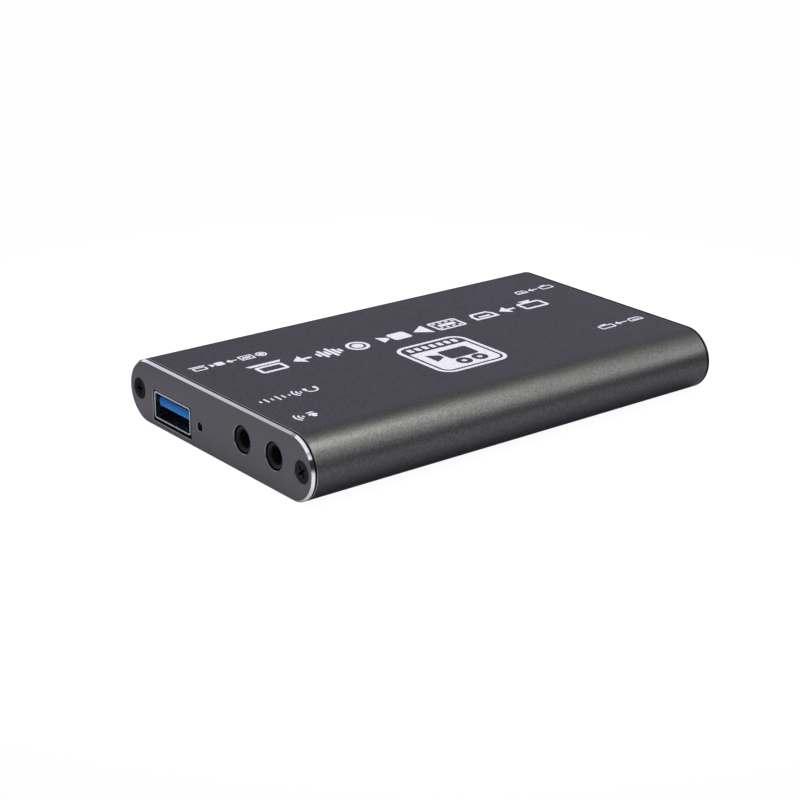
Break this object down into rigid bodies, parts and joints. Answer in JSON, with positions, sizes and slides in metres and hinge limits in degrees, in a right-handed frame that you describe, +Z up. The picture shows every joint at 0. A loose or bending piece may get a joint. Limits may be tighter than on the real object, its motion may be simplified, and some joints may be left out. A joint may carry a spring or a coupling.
{
  "type": "video capture box",
  "caption": "Flat pocket-sized video capture box: an extruded metal sleeve with round sides, a screwed plate at each end, and data, sound and video sockets on a board inside.",
  "frame": {"origin": "bottom centre of the case, on the surface that it rests on", "axes": "+Y along the length, from the data port and sound jacks to the video ports; +X to the right of someone who looks along +Y; +Z up"},
  "size_m": [0.063, 0.1044, 0.0134],
  "materials": {
    "anodised_sleeve": "bead-blasted and anodised dark grey",
    "anodised_plate": "anodised dark grey with a bright diamond-cut edge",
    "black_screw": "black oxide, satin",
    "circuit_board": "green solder mask on glass cloth",
    "plated_shell": "nickel plated, satin",
    "blue_insulator": "moulded, slight sheen",
    "black_insulator": "moulded, slight sheen",
    "gold_contact": "gold flash",
    "plated_contact": "tin or silver plated",
    "white_ceramic": "matte",
    "clear_lens": "cast clear resin",
    "chip_resin": "moulded resin",
    "thermal_pad": "soft pad",
    "bare_aluminium": "bare, lightly brushed",
    "ferrite": "pressed powder, matte",
    "tan_ceramic": "fired, matte"
  },
  "bodies": {
    "root": {"case_sleeve": "anodised_sleeve", "front_plate": "anodised_plate", "rear_plate": "anodised_plate", "front_screws": "black_screw", "rear_screws": "black_screw", "main_board": "circuit_board", "data_port_shell": "plated_shell", "data_port_insulator": "blue_insulator", "data_port_contacts": "gold_contact", "video_in_shell": "plated_shell", "video_in_insulator": "black_insulator", "video_in_contacts": "gold_contact", "video_out_shell": "plated_shell", "video_out_insulator": "black_insulator", "video_out_contacts": "gold_contact", "earphone_jack_body": "black_insulator", "earphone_jack_contacts": "plated_contact", "microphone_jack_body": "black_insulator", "microphone_jack_contacts": "plated_contact", "led_base": "white_ceramic", "led_lens": "clear_lens", "capture_chip": "chip_resin", "thermal_tape": "thermal_pad", "heat_sink": "bare_aluminium", "splitter_chip": "chip_resin", "audio_codec_chip": "chip_resin", "frame_memory_chip": "chip_resin", "flash_memory_chip": "chip_resin", "voltage_regulators": "chip_resin", "crystal_oscillators": "plated_contact", "power_inductors": "ferrite", "bulk_capacitors": "bare_aluminium", "chip_capacitors": "tan_ceramic"}
  },
  "joints": []
}
